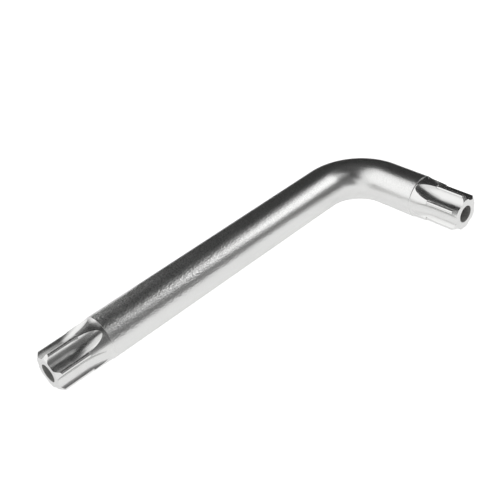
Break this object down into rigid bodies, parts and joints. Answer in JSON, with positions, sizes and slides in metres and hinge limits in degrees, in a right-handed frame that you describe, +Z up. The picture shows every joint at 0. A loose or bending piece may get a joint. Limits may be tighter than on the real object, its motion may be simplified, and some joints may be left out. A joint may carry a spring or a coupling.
{
  "type": "pin star key",
  "caption": "Round steel bar bent into an L, each end formed into a fluted star drive with a blind pin hole, for turning tamper-resistant star screws by hand.",
  "frame": {"origin": "on the surface that the key lies on, below the middle of its outline", "axes": "+X along the long arm from its star towards the bend, +Y from the short arm's star towards the bend, +Z up from the surface"},
  "size_m": [0.115, 0.046, 0.012],
  "materials": {
    "satin_plate": "fine blasted steel under satin plating",
    "machined_plate": "smooth formed steel under bright plating"
  },
  "bodies": {
    "root": {"long_arm": "satin_plate", "bend": "satin_plate", "short_arm": "satin_plate", "long_arm_star": "machined_plate", "short_arm_star": "machined_plate"}
  },
  "joints": []
}
